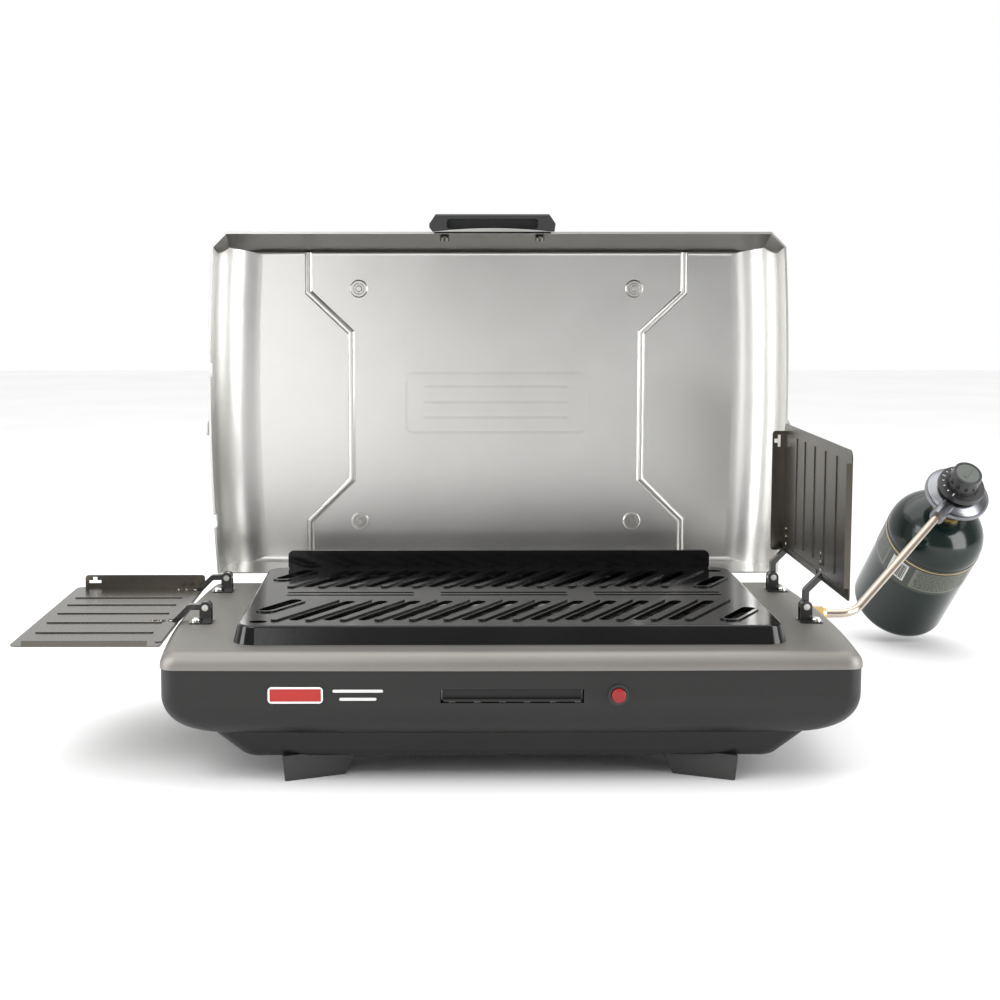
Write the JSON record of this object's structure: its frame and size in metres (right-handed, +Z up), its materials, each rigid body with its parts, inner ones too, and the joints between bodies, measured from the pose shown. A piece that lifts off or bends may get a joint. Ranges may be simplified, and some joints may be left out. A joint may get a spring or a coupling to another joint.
{
  "type": "folding camp grill",
  "caption": "Suitcase-style folding gas camp grill with open lid, two fold-out side tables, slanted-slot grate, rigid gas pipe, regulator and screw-on gas cylinder.",
  "frame": {"origin": "on the table, under the middle of the body between the four feet", "axes": "+X to the cook's right, +Y away from the cook to the lid hinge, +Z up"},
  "size_m": [0.8903, 0.6061, 0.446],
  "materials": {
    "tub_black": "satin",
    "bezel_steel": "satin",
    "lid_steel": "satin",
    "sheet_steel": "satin",
    "enamel_black": "gloss",
    "table_nickel": "gloss",
    "bracket_black": "gloss",
    "bright_zinc": "polished",
    "handle_black": "matte",
    "brass": "polished",
    "pipe_nickel": "polished",
    "die_cast": "satin",
    "knob_black": "gloss",
    "knob_face": "matte",
    "print_white": "matte",
    "can_green": "gloss",
    "label_olive": "satin",
    "button_red": "gloss",
    "badge_red": "gloss",
    "foot_rubber": "matte",
    "ceramic": "gloss",
    "wire": "matte"
  },
  "bodies": {
    "base": {"base_shell": "tub_black", "top_bezel": "bezel_steel", "firebox": "sheet_steel", "burner_tube": "sheet_steel", "burner_brackets": "sheet_steel", "tray_rails": "sheet_steel", "igniter_housing": "handle_black", "igniter_nut": "sheet_steel", "spark_electrode": "ceramic", "igniter_lead": "wire", "front_badge": "badge_red", "trim_bars": "print_white", "foot_front_left": "foot_rubber", "foot_front_right": "foot_rubber", "foot_rear_left": "foot_rubber", "foot_rear_right": "foot_rubber", "foot_screws": "bright_zinc", "cooking_grate": "enamel_black", "hinge_base_left": "bright_zinc", "hinge_base_right": "bright_zinc", "hinge_pins": "bright_zinc", "base_rivets": "bright_zinc", "bracket_front_left": "bracket_black", "bracket_rear_left": "bracket_black", "bracket_front_right": "bracket_black", "bracket_rear_right": "bracket_black", "bracket_screws": "bright_zinc", "bracket_pins": "bright_zinc", "inlet_fitting": "brass", "inlet_locknut": "brass", "pipe_nut": "brass", "fuel_pipe": "pipe_nickel", "regulator_body": "die_cast", "regulator_ring": "die_cast", "regulator_socket": "die_cast"},
    "lid": {"lid_shell": "lid_steel", "lid_handle": "handle_black", "handle_washers": "bright_zinc", "handle_screws": "bright_zinc", "lid_lug_left": "lid_steel", "lid_lug_right": "lid_steel", "hinge_leaf_left": "bright_zinc", "hinge_leaf_right": "bright_zinc", "lid_rivets": "bright_zinc"},
    "left_table": {"left_table": "table_nickel", "left_arm_front": "bracket_black", "left_arm_rear": "bracket_black", "left_table_rivets": "bright_zinc"},
    "right_table": {"right_table": "table_nickel", "right_arm_front": "bracket_black", "right_arm_rear": "bracket_black", "right_table_rivets": "bright_zinc"},
    "grease_tray": {"grease_tray": "tub_black"},
    "lighter_button": {"igniter_button": "button_red"},
    "flame_knob": {"control_knob": "knob_black", "knob_insert": "knob_face", "dial_marks": "print_white"},
    "cylinder": {"gas_cylinder": "can_green", "cylinder_neck": "brass", "cylinder_label": "label_olive"}
  },
  "joints": [
    {"name": "lid_hinge", "type": "hinge", "parent": "base", "child": "lid", "pos_m": [0, 0.1615, 0.1085], "axis": [1, 0, 0], "range_deg": [0, 90]},
    {"name": "right_table_hinge", "type": "hinge", "parent": "base", "child": "right_table", "pos_m": [0.2465, 0, 0.119], "axis": [0, -1, 0], "range_deg": [0, 85]},
    {"name": "left_table_hinge", "type": "hinge", "parent": "base", "child": "left_table", "pos_m": [-0.2465, 0, 0.119], "axis": [0, 1, 0], "range_deg": [0, 175]},
    {"name": "tray_slide", "type": "slide", "parent": "base", "child": "grease_tray", "axis": [0, -1, 0], "range_m": [0, 0.2]},
    {"name": "lighter_press", "type": "slide", "parent": "base", "child": "lighter_button", "axis": [0, 1, 0], "range_m": [0, 0.0035], "stiffness_N_per_m": 400},
    {"name": "knob_turn", "type": "hinge", "parent": "base", "child": "flame_knob", "pos_m": [0.4647, 0.28, 0.174], "axis": [0.1206, -0.6841, 0.7193], "range_deg": [0, 270]},
    {"name": "cylinder_screw", "type": "hinge", "parent": "base", "child": "cylinder", "pos_m": [0.4647, 0.28, 0.174], "axis": [0.1206, -0.6841, 0.7193], "range_deg": [0, 720]}
  ],
  "couplings": [
    {"joint": "right_table_hinge", "follows": "lid_hinge", "ratio": 0.94444}
  ]
}
